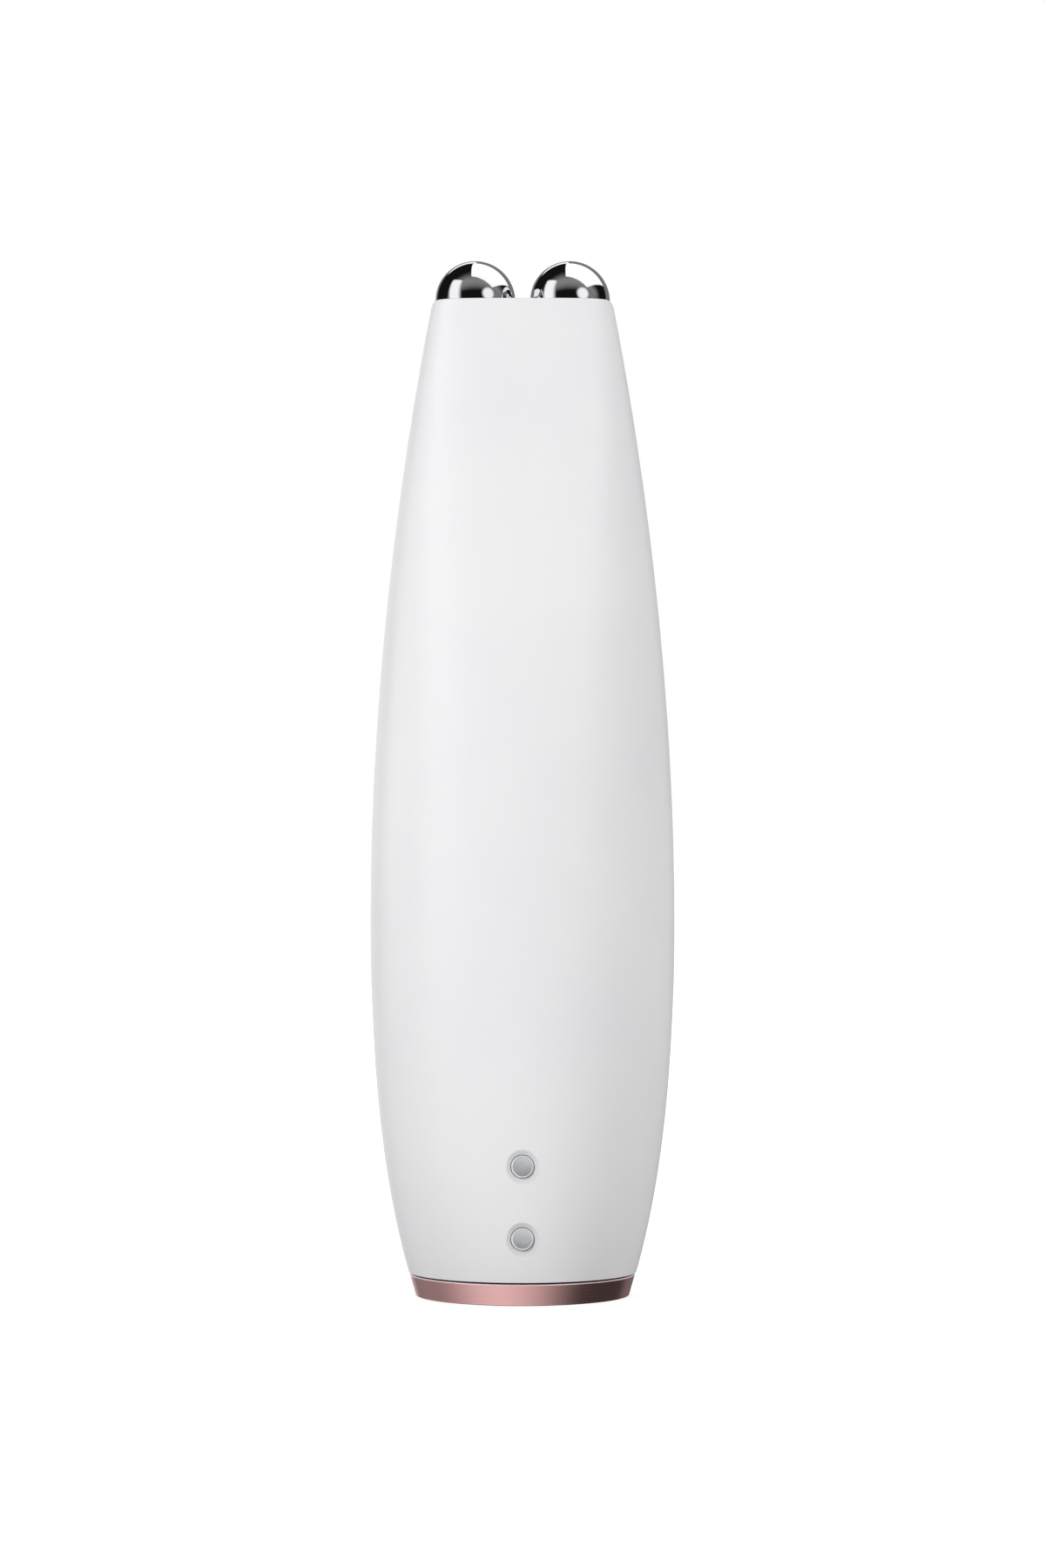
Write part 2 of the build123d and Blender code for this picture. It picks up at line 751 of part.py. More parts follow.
with BuildPart() as board_screws:
    with BuildSketch(Plane.XZ.offset(-chassis_rear - fit)):
        with Locations(*post_offsets):
            Circle(screw_head_radius)
    extrude(amount=-screw_head_height)
    with BuildSketch(Plane.XZ.offset(-chassis_rear - fit)):
        with Locations(*post_offsets):
            Circle(screw_radius)
    extrude(amount=screw_length - 2 * fit)
finish(board_screws, "board_screws")

with BuildPart() as switch_body:
    with BuildSketch(Plane.XZ.offset(-board_front + fit)):
        with Locations((0, button_height)):
            Rectangle(switch_width, switch_width)
    extrude(amount=switch_height - fit)
    with BuildSketch(Plane.XZ.offset(-plunger_tip - plunger_out)):
        with Locations((0, button_height)):
            Circle(plunger_radius + plunger_running)
    extrude(amount=-(plunger_in + button_travel + fit), mode=Mode.SUBTRACT)
finish(switch_body, "switch_body")

with BuildPart() as switch_plunger:
    with BuildSketch(Plane.XZ.offset(-plunger_tip - plunger_out - plunger_in)):
        with Locations((0, button_height)):
            Circle(plunger_radius)
    extrude(amount=plunger_out + plunger_in)
finish(switch_plunger, "switch_plunger")


def board_block(name, height, width, length, thickness):
    """A flat component on the front of the main board, centred at a height."""
    with BuildPart() as block:
        with BuildSketch(Plane.XZ.offset(-board_front + fit)):
            with Locations((0, height)):
                Rectangle(width, length)
        extrude(amount=thickness)
    finish(block, name)


board_block("controller_chip", chip_height, chip_width, chip_width, chip_thickness)
board_block("status_light", window_height, light_size, light_size, light_height)

with BuildPart() as step_up_coil:
    with BuildSketch(Plane.XZ.offset(-board_front + fit)):
        with Locations((0, coil_height)):
            RectangleRounded(coil_width, coil_width, coil_corner)
    extrude(amount=coil_thickness)
    with BuildSketch(Plane.XZ.offset(-board_front + fit + coil_thickness)):
        with Locations((0, coil_height)):
            Circle(coil_core_radius)
    extrude(amount=-coil_core_depth, mode=Mode.SUBTRACT)
finish(step_up_coil, "step_up_coil")

with BuildPart() as capacitors:
    with BuildSketch(Plane.XZ.offset(-board_front + fit)):
        with Locations((0, chip_height)):
            with GridLocations(2 * capacitor_x, capacitor_pitch, 2, 3):
                Rectangle(capacitor_width, capacitor_length)
    extrude(amount=capacitor_width)
finish(capacitors, "capacitors")

# ---------- cell, pad and motor ----------
cell_top = cell_bottom + cell_length
with BuildPart() as lithium_cell:
    with BuildSketch(Plane.XY.offset(cell_bottom)):
        with Locations((0, cell_y)):
            Circle(cell_radius)
    extrude(amount=cell_length - cell_terminal_height)
    fillet(lithium_cell.edges().filter_by(GeomType.CIRCLE), cell_edge)
    with BuildSketch(Plane.XY.offset(cell_top - cell_terminal_height)):
        with Locations((0, cell_y)):
            Circle(cell_terminal_radius)
    extrude(amount=cell_terminal_height)
finish(lithium_cell, "lithium_cell")

with BuildPart() as cell_guard_board:
    with BuildSketch(Plane.XY.offset(cell_bottom - fit)):
        with Locations((0, cell_y)):
            Circle(cell_radius)
    extrude(amount=-guard_thickness)
finish(cell_guard_board, "cell_guard_board")

with BuildPart() as foam_pad:
    with BuildSketch(facing_back.offset(pad_front)):
        with Locations((0, cell_middle)):
            Rectangle(pad_width, pad_length)
    extrude(amount=pad_thickness)
finish(foam_pad, "foam_pad")

cap_top = motor_bottom + end_cap_thickness
with BuildPart() as motor_can:
    with BuildSketch(Plane.XY.offset(cap_top)):
        with Locations((0, motor_y)):
            Circle(motor_radius)
    extrude(amount=motor_top - cap_top)
    with BuildSketch(Plane.XY.offset(cap_top)):
        with Locations((0, motor_y)):
            Circle(motor_radius - motor_wall)
    extrude(amount=motor_top - cap_top - motor_wall, mode=Mode.SUBTRACT)
    with BuildSketch(Plane.XY.offset(motor_top)):
        with Locations((0, motor_y)):
            Circle(shaft_radius + shaft_running)
    extrude(amount=-2 * motor_wall, mode=Mode.SUBTRACT)
finish(motor_can, "motor_can")

with BuildPart() as motor_magnet:
    with BuildSketch(Plane.XY.offset(motor_top - motor_wall - fit)):
        with Locations((0, motor_y)):
            Circle(magnet_tube_radius)
            Circle(magnet_tube_bore, mode=Mode.SUBTRACT)
    extrude(amount=-(motor_top - motor_wall - cap_top - winding_gap - winding_wall - winding_gap))
finish(motor_magnet, "motor_magnet")

with BuildPart() as motor_coil:
    with BuildSketch(Plane.XY.offset(cap_top + winding_gap)):
        with Locations((0, motor_y)):
            Circle(winding_radius)
            Circle(shaft_radius, mode=Mode.SUBTRACT)
    extrude(amount=motor_top - motor_wall - cap_top - 2 * winding_gap)
    with BuildSketch(Plane.XY.offset(cap_top + winding_gap + winding_wall)):
        with Locations((0, motor_y)):
            Circle(winding_radius - winding_wall)
    extrude(amount=motor_length, mode=Mode.SUBTRACT)
finish(motor_coil, "motor_coil")

with BuildPart() as motor_end_cap:
    with BuildSketch(Plane.XY.offset(motor_bottom)):
        with Locations((0, motor_y)):
            Circle(motor_radius)
    extrude(amount=end_cap_thickness - fit)
    with BuildSketch(Plane.XY.offset(cap_top - fit)):
        with Locations((0, motor_y)):
            Circle(shaft_radius + shaft_running)
    extrude(amount=-end_cap_thickness / 2, mode=Mode.SUBTRACT)
finish(motor_end_cap, "motor_end_cap")

shaft_bottom = cap_top - end_cap_thickness / 2
with BuildPart() as motor_shaft:
    with BuildSketch(Plane.XY.offset(shaft_bottom)):
        with Locations((0, motor_y)):
            Circle(shaft_radius)
    extrude(amount=motor_top + shaft_out - shaft_bottom)
finish(motor_shaft, "motor_shaft")

with BuildPart() as eccentric_weight:
    with BuildSketch(Plane.XY.offset(motor_top + weight_lift)):
        with Locations((0, motor_y)):
            Circle(weight_radius)
        with Locations((0, motor_y - weight_radius / 2)):
            Rectangle(2 * weight_radius, weight_radius, mode=Mode.INTERSECT)
        with Locations((0, motor_y)):
            Circle(weight_hub_radius)
            Circle(shaft_radius, mode=Mode.SUBTRACT)
    extrude(amount=weight_height)
finish(eccentric_weight, "eccentric_weight")

with BuildPart() as motor_boot:
    with BuildSketch(Plane.XY.offset(cap_top)):
        with Locations((0, motor_y)):
            Circle(boot_radius)
            Circle(motor_radius, mode=Mode.SUBTRACT)
    extrude(amount=motor_length - 2 * end_cap_thickness)
finish(motor_boot, "motor_boot")

# ---------- charging contacts ----------
with BuildPart() as charging_board:
    with BuildSketch(facing_back.offset(charge_board_face)):
        with Locations((0, (charge_board_bottom + charge_board_top) / 2)):
            Rectangle(charge_board_width, charge_board_top - charge_board_bottom)
        with Locations(*stake_offsets):
            Circle(stake_peg_radius + fit, mode=Mode.SUBTRACT)
        with Locations(*[(0, z) for z in pin_heights]):
            Circle(pin_tail_radius + fit, mode=Mode.SUBTRACT)
    extrude(amount=charge_board_thickness)
finish(charging_board, "charging_board")

for level, z in zip(("upper", "lower"), pin_heights):
    face = depth_at(0, z, head_rear_depth)
    flange_outer = face - wall - seal_thickness - 2 * fit
    with BuildPart() as charging_pin:
        with BuildSketch(facing_back.offset(flange_outer)):
            with Locations((0, z)):
                Circle(pin_radius)
        extrude(amount=face - pin_recess - flange_outer)
        chamfer(charging_pin.edges().group_by(Axis.Y)[-1], pin_bevel)
        with BuildSketch(facing_back.offset(flange_outer)):
            with Locations((0, z)):
                Circle(pin_flange_radius)
        extrude(amount=-pin_flange)
        with BuildSketch(facing_back.offset(charge_board_rear + fit)):
            with Locations((0, z)):
                Circle(pin_body_radius)
        extrude(amount=flange_outer - charge_board_rear - fit)
        with BuildSketch(facing_back.offset(charge_board_rear - stake_peg_length)):
            with Locations((0, z)):
                Circle(pin_tail_radius)
        extrude(amount=stake_peg_length + pin_flange)
    finish(charging_pin, f"charging_pin_{level}")

with BuildPart() as pin_seals:
    for z in pin_heights:
        face = depth_at(0, z, head_rear_depth)
        with Locations(Location((0, face - wall - fit - seal_thickness / 2, z), (90, 0, 0))):
            Torus(pin_radius + fit + seal_thickness / 2, seal_thickness / 2)
finish(pin_seals, "pin_seals")

with BuildPart() as charging_magnets:
    with BuildSketch(facing_back.offset(magnet_roof)):
        with Locations(*magnet_offsets):
            Circle(magnet_radius)
    extrude(amount=magnet_thickness)
finish(charging_magnets, "charging_magnets")


# ---------- leads ----------
def lead(name, points, bend):
    """An insulated lead along straight runs joined by arcs."""
    with BuildPart() as wire:
        with BuildLine():
            FilletPolyline(*points, radius=bend)
        start = Vector(*points[0])
        with BuildSketch(Plane(start, z_dir=Vector(*points[1]) - start)):
            Circle(lead_radius)
        sweep()
    finish(wire, name)


pad_face = board_rear + fit
guard_face = cell_bottom - guard_thickness - 2 * fit
nut_face = stud_bottom - fit
electrode_pad = (chassis_top + board_top) / 2
for colour, side in (("red", 1), ("black", -1)):
    x = side * lead_x
    cell_route = [(x, cell_y, guard_face), (x, cell_y, pad_height), (x, pad_face, pad_height)]
    motor_route = [(x, motor_y, motor_bottom - fit), (x, motor_y, motor_pad), (x, pad_face, motor_pad)]
    lead(f"cell_lead_{colour}", cell_route, lead_bend)
    lead(f"motor_lead_{colour}", motor_route, lead_bend)
    x = side * charge_lead_x
    charging_route = [
        (x, charge_board_face - fit, magnet_height),
        (x, cell_y, magnet_height),
        (x, cell_y, pad_height),
        (x, pad_face, pad_height),
    ]
    lead(f"charging_lead_{colour}", charging_route, lead_bend)
for hand, x in ball_offsets.items():
    electrode_route = [(x, 0, nut_face), (x, 0, electrode_pad), (x, pad_face, electrode_pad)]
    lead(f"electrode_lead_{hand}", electrode_route, lead_bend)
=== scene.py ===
import math

import bpy
import numpy as np
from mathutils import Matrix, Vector


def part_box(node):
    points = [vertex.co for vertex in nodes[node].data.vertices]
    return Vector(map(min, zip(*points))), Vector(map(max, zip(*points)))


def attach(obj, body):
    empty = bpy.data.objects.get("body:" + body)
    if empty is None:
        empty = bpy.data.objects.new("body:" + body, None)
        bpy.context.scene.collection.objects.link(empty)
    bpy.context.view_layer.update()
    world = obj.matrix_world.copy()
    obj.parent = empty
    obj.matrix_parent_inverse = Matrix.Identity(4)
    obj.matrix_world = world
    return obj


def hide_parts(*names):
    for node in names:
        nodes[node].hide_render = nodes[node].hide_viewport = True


# Facial toning device, metres. +Z is up, -Y is the button side and +Y the charging side.
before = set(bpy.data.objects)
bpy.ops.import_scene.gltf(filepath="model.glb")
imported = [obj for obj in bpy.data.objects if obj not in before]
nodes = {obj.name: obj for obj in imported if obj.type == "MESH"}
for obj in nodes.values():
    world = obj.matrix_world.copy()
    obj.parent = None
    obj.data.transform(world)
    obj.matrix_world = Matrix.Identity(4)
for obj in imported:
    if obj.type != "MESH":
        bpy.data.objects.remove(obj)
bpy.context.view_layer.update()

# ---------- sizes ----------
# Charging contacts, turned about axes along Y. Hollow, drops and flange are measured back from the face.
CONTACT_TURNS = 96
HOLLOW_RINGS = 12
RIM_RINGS = 9
CONTACT_FACE_RADIUS = 0.00102
CONTACT_HOLLOW = 0.00006
CONTACT_RIM_WIDTH = 0.00015
CONTACT_RIM_DROP = 0.0001
CONTACT_RADIUS = 0.0012
CONTACT_SHOULDER_DROP = 0.00012
FLANGE_RADIUS = 0.0018
FLANGE_FRONT = 0.00221
FLANGE_BACK = 0.00271
PIN_BODY_RADIUS = 0.0008
PIN_TAIL_RADIUS = 0.0004
CHARGING_BOARD_Y = 0.0080

# Dishes round the contacts: heights of their middles, radius, how much painted shade greys them, and where it
# fades.
DISH_HEIGHTS = (0.01472, 0.00706)
DISH_RADIUS = 0.00182
DISH_PAINTED_SHADE = 0.55
DISH_FADE = 0.88

# Base cap: half-widths along X, and heights. The proportion is that of its depth to its width.
CAP_TURNS = 288
CORNER_RINGS = 9
SIDE_RINGS = 25
CAP_PROPORTION = 0.96
CAP_FOOT = 0.0114
CAP_TOP = 0.01199
CAP_HEIGHT = 0.00228
CAP_CORNER = 0.00014
CAP_BEVEL = 0.00009
CAP_FLOOR = 0.0014
GASKET_SEAT = 0.0022
LIP_INNER = 0.01152
COLLAR_OUTER = 0.009417
COLLAR_INNER = 0.008217
COLLAR_FLATTER = 0.000488
HOOK_BOTTOM = 0.00382
HOOK_TOP = 0.00462
HOOK_REACH = 0.00045
# Narrow strips at the ends of the cap's side and bevel, as shares of each, take up the turns in shading.
SIDE_END_STRIP = 0.01
BEVEL_END_STRIP = 0.03
# The painted highlight on the bevel, a paler and less metallic colour, covers this reach above and below this
# height.
BEVEL_PAINTED_HIGHLIGHT_HEIGHT = 0.00224
BEVEL_PAINTED_HIGHLIGHT_REACH = 0.000055

# Studio: where the lamps point, how far off they stand, and the tent that metal mirrors.
HOUSING_MIDDLE = (0, 0, 0.055)
LAMP_DISTANCE = 0.65
TENT_MIDDLE = (0, 0, 0.1)
TENT_RADIUS = 0.8
TENT_ROWS = 25
TENT_COLUMNS = 49
TENT_CLOTH = 0.008
FLOOR_HALF_WIDTH = 3.0
BLACK = (0, 0, 0, 1)
WHITE = (1, 1, 1, 1)


# ---------- node material helpers ----------
class Shader:
    """Builds one node material: each method adds its nodes and returns the last one's output socket."""

    def __init__(self, name):
        self.material = bpy.data.materials.new(name)
        self.material.use_nodes = True
        self.tree = self.material.node_tree
        self.tree.nodes.clear()
        output = self.tree.nodes.new("ShaderNodeOutputMaterial")
        self.surface = self.tree.nodes.new("ShaderNodeBsdfPrincipled")
        self.tree.links.new(self.surface.outputs[0], output.inputs["Surface"])

    def put(self, socket, value):
        """Sets a socket to a number or colour, or links it to another socket."""
        if isinstance(value, bpy.types.NodeSocket):
            self.tree.links.new(value, socket)
        else:
            socket.default_value = value

    def set(self, **values):
        """Sets inputs of the surface shader by name, with underscores for spaces."""
        for name, value in values.items():
            self.put(self.surface.inputs[name.replace("_", " ")], value)

    def coordinates(self):
        return self.tree.nodes.new("ShaderNodeTexCoord").outputs["Object"]

    def stretched(self, scale):
        """Object coordinates, each axis multiplied by its own scale."""
        node = self.tree.nodes.new("ShaderNodeMapping")
        self.tree.links.new(self.coordinates(), node.inputs["Vector"])
        node.inputs["Scale"].default_value = scale
        return node.outputs["Vector"]

    def split(self, vector):
        """The vector's three parts."""
        node = self.tree.nodes.new("ShaderNodeSeparateXYZ")
        self.tree.links.new(vector, node.inputs[0])
        return tuple(node.outputs)

    def noise(self, scale, detail=4.0, roughness=0.55, vector=None):
        node = self.tree.nodes.new("ShaderNodeTexNoise")
        self.tree.links.new(vector or self.coordinates(), node.inputs["Vector"])
        node.inputs["Scale"].default_value = scale
        node.inputs["Detail"].default_value = detail
        node.inputs["Roughness"].default_value = roughness
        return node.outputs["Fac"]

    def spread(self, value, low, high, start=0.3, end=0.7, smooth=False):
        """Maps the value's range start..end onto low..high, along a straight line or a smooth step."""
        node = self.tree.nodes.new("ShaderNodeMapRange")
        if smooth:
            node.interpolation_type = "SMOOTHSTEP"
        self.put(node.inputs["Value"], value)
        for name, number in zip(("From Min", "From Max", "To Min", "To Max"), (start, end, low, high)):
            node.inputs[name].default_value = number
        return node.outputs["Result"]

    def mix(self, share, a, b):
        """Mixes two colours by a share between 0 and 1."""
        node = self.tree.nodes.new("ShaderNodeMix")
        node.data_type = "RGBA"
        factor, first, second = node.inputs[0], node.inputs[6], node.inputs[7]
        self.put(factor, share)
        self.put(first, a)
        self.put(second, b)
        return node.outputs[2]

    def wander(self, value, low, high):
        """A colour that wanders with the value between two sRGB tones."""
        return self.mix(self.spread(value, 0, 1), linear(*low), linear(*high))

    def maths(self, operation, a, b=0.0):
        node = self.tree.nodes.new("ShaderNodeMath")
        node.operation = operation
        self.put(node.inputs[0], a)
        self.put(node.inputs[1], b)
        return node.outputs["Value"]

    def near(self, value, middle, reach):
        """1 where the value lies within reach of the middle, 0 elsewhere."""
        node = self.tree.nodes.new("ShaderNodeMath")
        node.operation = "COMPARE"
        self.put(node.inputs[0], value)
        node.inputs[1].default_value = middle
        node.inputs[2].default_value = reach
        return node.outputs["Value"]

    def vector_maths(self, operation, vector, other=None, output="Vector"):
        node = self.tree.nodes.new("ShaderNodeVectorMath")
        node.operation = operation
        self.tree.links.new(vector, node.inputs[0])
        if other is not None:
            node.inputs[1].default_value = other
        return node.outputs[output]

    def dish(self, height):
        """1 about an axis along Y at x = 0 and this height on the +Y side, fading to 0 at the dish's edge."""
        x, y, z = self.split(self.coordinates())
        off = self.maths("SUBTRACT", z, height)
        square = self.maths("ADD", self.maths("MULTIPLY", x, x), self.maths("MULTIPLY", off, off))
        away = self.maths("SQRT", square)
        inside = self.spread(away, 1, 0, start=DISH_FADE * DISH_RADIUS, end=DISH_RADIUS)
        return self.maths("MULTIPLY", inside, self.maths("GREATER_THAN", y, 0.0))

    def bump(self, height, depth):
        node = self.tree.nodes.new("ShaderNodeBump")
        node.inputs["Strength"].default_value = 1.0
        node.inputs["Distance"].default_value = depth
        self.tree.links.new(height, node.inputs["Height"])
        self.tree.links.new(node.outputs["Normal"], self.surface.inputs["Normal"])


def linear(red, green, blue):
    """sRGB bytes to a linear colour."""
    parts = [c / 255 for c in (red, green, blue)]
    return tuple(c / 12.92 if c <= 0.04045 else ((c + 0.055) / 1.055) ** 2.4 for c in parts) + (1.0,)


# ---------- materials ----------
def moulded_white():
    """Satin white moulding: very fine pitted grain, slight flow clouds in tone and gloss, dishes greyed by
    painted shade.
    """
    s = Shader("moulded_white")
    cloud = s.noise(scale=45, detail=3)
    grain = s.noise(scale=9000, detail=2)
    fine = s.noise(scale=2600, detail=5, roughness=0.7)
    tone = s.wander(cloud, (238, 238, 240), (243, 243, 244))
    # painted shade: the dishes round the contacts are greyed in colour, fading out at their edges
    for height in DISH_HEIGHTS:
        tone = s.mix(s.maths("MULTIPLY", s.dish(height), DISH_PAINTED_SHADE), tone, linear(214, 214, 217))
    s.set(Base_Color=tone, Roughness=s.spread(fine, 0.3, 0.38), IOR=1.5)
    s.set(Coat_Weight=0.2, Coat_Roughness=0.24)
    s.bump(s.maths("ADD", grain, s.maths("MULTIPLY", fine, 0.6)), depth=0.000004)
    return s.material


def gloss_white():
    """Glossier white moulding for the head plate and the button."""
    s = Shader("gloss_white")
    cloud = s.noise(scale=60, detail=3)
    fine = s.noise(scale=3200)
    s.set(Base_Color=s.wander(cloud, (236, 236, 238), (242, 242, 243)))
    s.set(Roughness=s.spread(fine, 0.16, 0.24), Coat_Weight=0.3, Coat_Roughness=0.08)
    s.bump(fine, depth=0.000003)
    return s.material


def polished_steel():
    """Mirror-polished steel with the faintest haze and hairline wear."""
    s = Shader("polished_steel")
    haze = s.noise(scale=220)
    hair = s.noise(scale=900, detail=3, roughness=0.6, vector=s.stretched((1, 1, 14)))
    s.set(Base_Color=s.wander(haze, (222, 222, 225), (232, 232, 234)))
    s.set(Metallic=1.0, Roughness=s.spread(hair, 0.012, 0.035))
    s.bump(hair, depth=0.0000012)
    return s.material


def rose_gold():
    """Rose-gold anodised metal with fine brushing round the cap; the cap's bevel carries a painted highlight,
    paler and less metallic.
    """
    s = Shader("rose_gold")
    brushing = s.noise(scale=260, roughness=0.6, vector=s.stretched((1, 1, 26)))
    cloud = s.noise(scale=90, detail=3)
    colour = s.wander(cloud, (226, 175, 174), (232, 183, 181))
    z = s.split(s.coordinates())[2]
    # painted highlight: a paler, less metallic band along the cap's bevel
    bevel = s.near(z, BEVEL_PAINTED_HIGHLIGHT_HEIGHT, BEVEL_PAINTED_HIGHLIGHT_REACH)
    s.set(Base_Color=s.mix(bevel, colour, linear(250, 224, 226)), Anisotropic=0.3)
    s.set(Metallic=s.spread(bevel, 1.0, 0.15, start=0, end=1), Roughness=s.spread(brushing, 0.2, 0.3))
    s.bump(brushing, depth=0.000003)
    return s.material


def satin_contact(name, low, high, metallic):
    """Satin nickel with lathe rings too fine to count and a little wear."""
    s = Shader(name)
    lathe = s.noise(scale=1500, roughness=0.6, vector=s.stretched((1, 6, 1)))
    wear = s.noise(scale=900)
    s.set(Base_Color=s.wander(wear, low, high), Metallic=metallic, Roughness=s.spread(lathe, 0.3, 0.4))
    s.bump(lathe, depth=0.000004)
    return s.material


def plain(name, low, high, roughness, metallic=0.0, coat=0.0):
    """A grained surface whose colour wanders between two tones, for the inner and small pieces."""
    s = Shader(name)
    cloud = s.noise(scale=300)
    grain = s.noise(scale=4200, detail=3)
    s.set(Base_Color=s.wander(cloud, low, high), Metallic=metallic, Coat_Weight=coat)
    s.set(Roughness=s.spread(grain, roughness * 0.85, min(1.0, roughness * 1.15)))
    s.bump(grain, depth=0.000006)
    return s.material


white = moulded_white()
gloss = gloss_white()
steel_mirror = polished_steel()
pink_metal = rose_gold()
# the rim's copy of the satin nickel is paler, a painted highlight, and the shoulder's copy darker, painted
# shade
contact_face = satin_contact("contact_face", (196, 197, 200), (212, 213, 216), metallic=0.6)
contact_rim_painted_highlight = satin_contact("contact_rim_painted_highlight", (236, 237, 240), (246, 247, 250), metallic=0.3)
contact_shoulder_painted_shade = satin_contact("contact_shoulder_painted_shade", (150, 151, 154), (166, 167, 170), metallic=0.6)
silicone = plain("silicone", (38, 28, 30), (52, 40, 42), 0.55)
clear_white = plain("clear_white", (225, 226, 222), (240, 240, 236), 0.2, coat=0.5)
brass = plain("turned_brass", (196, 160, 96), (214, 180, 112), 0.28, metallic=1.0)
dark_plastic = plain("dark_plastic", (42, 42, 46), (54, 54, 58), 0.5)
board_green = plain("board_green", (22, 78, 44), (30, 96, 54), 0.4, coat=0.4)
chip_black = plain("chip_black", (22, 22, 24), (34, 34, 36), 0.55)
fired = plain("fired_ceramic", (150, 122, 88), (172, 142, 104), 0.45)
ferrite = plain("ferrite", (44, 44, 46), (60, 60, 62), 0.6)
sleeve = plain("cell_sleeve", (44, 96, 152), (54, 110, 170), 0.32, coat=0.3)
drawn_steel = plain("drawn_steel", (166, 168, 172), (190, 192, 196), 0.3, metallic=1.0)
winding = plain("winding", (168, 96, 52), (188, 112, 64), 0.35, metallic=0.6)
tungsten = plain("tungsten", (96, 96, 100), (118, 118, 122), 0.42, metallic=1.0)
foam = plain("foam", (36, 36, 40), (58, 58, 62), 0.9)
red_lead = plain("red_lead", (168, 26, 26), (188, 34, 32), 0.5)
black_lead = plain("black_lead", (24, 24, 26), (36, 36, 38), 0.5)

finishes = {
    white: ("rear_shell", "front_shell"),
    gloss: ("head_bezel", "power_button"),
    steel_mirror: ("electrode_ball_left", "electrode_ball_right"),
    pink_metal: ("base_cap", "button_trim_ring"),
    contact_face: ("charging_pin_upper", "charging_pin_lower"),
    silicone: ("electrode_collar_left", "electrode_collar_right", "base_gasket", "motor_boot", "pin_seals"),
    clear_white: ("light_window", "switch_plunger", "status_light"),
    brass: ("electrode_stud_left", "electrode_stud_right", "electrode_nuts"),
    dark_plastic: ("chassis", "motor_end_cap"),
    board_green: ("main_board", "charging_board", "cell_guard_board"),
    chip_black: ("switch_body", "controller_chip"),
    fired: ("capacitors",),
    ferrite: ("step_up_coil",),
    sleeve: ("lithium_cell",),
    drawn_steel: ("board_screws", "motor_can", "motor_shaft", "motor_magnet", "charging_magnets"),
    winding: ("motor_coil",),
    tungsten: ("eccentric_weight",),
    foam: ("foam_pad",),
    red_lead: ("cell_lead_red", "motor_lead_red", "charging_lead_red"),
    black_lead: (
        "cell_lead_black",
        "motor_lead_black",
        "charging_lead_black",
        "electrode_lead_left",
        "electrode_lead_right",
    ),
}
for material, members in finishes.items():
    for name in members:
        piece = nodes[name]
        piece.data.materials.clear()
        piece.data.materials.append(material)


# ---------- charging contacts and base cap ----------
def ring_solid(name, rings, first, last, bands, smooth_strips, materials):
    """A closed solid from a stack of rings (rows, turns, 3), joined ring to ring and closed at each end by a
    fan to its middle point. bands gives each strip's material, and the first smooth_strips strips are shaded
    smoothly."""
    rows, turns = rings.shape[:2]
    points = np.concatenate([rings.reshape(-1, 3), [first, last]])
    index = np.arange(rows * turns).reshape(rows, turns)
    after = np.roll(index, -1, axis=1)
    quads = np.stack([index[:-1], index[1:], after[1:], after[:-1]], -1).reshape(-1, 4)
    front = np.stack([np.full(turns, rows * turns), index[0], after[0]], -1)
    back = np.stack([np.full(turns, rows * turns + 1), after[-1], index[-1]], -1)
    mesh = bpy.data.meshes.new(name)
    mesh.from_pydata(points.tolist(), [], front.tolist() + quads.tolist() + back.tolist())
    for material in materials:
        mesh.materials.append(material)
    mesh.polygons.foreach_set("material_index", np.repeat(bands, turns).astype(np.int32))
    mesh.polygons.foreach_set("use_smooth", np.repeat(np.arange(rows + 1) < smooth_strips, turns))
    made = bpy.data.objects.new(name, mesh)
    bpy.context.scene.collection.objects.link(made)
    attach(made, "housing")
    return made


def charging_contact(name, node):
    """A charging contact, turned about an axis along Y, each ring (r sin t, height, r cos t): a shallow round
    hollow of height -(hollow) (1 - (r / face)^2), a rim rolled over a quarter ellipse, a small shoulder, then
    the barrel, flange, body and tail of the pin behind it."""
    low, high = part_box(node)
    tail_end, face = low[1], high[1]
    middle = (low[2] + high[2]) / 2
    r = np.linspace(0, CONTACT_FACE_RADIUS, HOLLOW_RINGS + 1)
    hollow = np.stack([r, face - CONTACT_HOLLOW * (1 - (r / CONTACT_FACE_RADIUS) ** 2)], -1)
    roll = np.linspace(0, np.pi / 2, RIM_RINGS + 1)[1:]
    rim_radius = CONTACT_FACE_RADIUS + CONTACT_RIM_WIDTH * np.sin(roll)
    rim = np.stack([rim_radius, face - CONTACT_RIM_DROP * (1 - np.cos(roll))], -1)
    barrel = [
        (CONTACT_RADIUS, face - CONTACT_SHOULDER_DROP),
        (CONTACT_RADIUS, face - FLANGE_FRONT),
        (FLANGE_RADIUS, face - FLANGE_FRONT),
        (FLANGE_RADIUS, face - FLANGE_BACK),
        (PIN_BODY_RADIUS, face - FLANGE_BACK),
        (PIN_BODY_RADIUS, CHARGING_BOARD_Y),
        (PIN_TAIL_RADIUS, CHARGING_BOARD_Y),
        (PIN_TAIL_RADIUS, tail_end),
    ]
    radius, height = np.hsplit(np.concatenate([hollow[1:], rim, barrel]), 2)
    t = np.linspace(0, 2 * np.pi, CONTACT_TURNS, endpoint=False)
    rings = np.stack([radius * np.sin(t), height + 0 * t, middle + radius * np.cos(t)], -1)
    made = ring_solid(
        name,
        rings,
        first=(0, hollow[0, 1], middle),
        last=(0, tail_end, middle),
        # the rim band carries a painted highlight and the shoulder band painted shade
        bands=np.repeat([0, 1, 2], [HOLLOW_RINGS, RIM_RINGS, len(barrel) + 1]),
        smooth_strips=HOLLOW_RINGS + RIM_RINGS,
        materials=(contact_face, contact_rim_painted_highlight, contact_shoulder_painted_shade),
    )
    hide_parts(node)


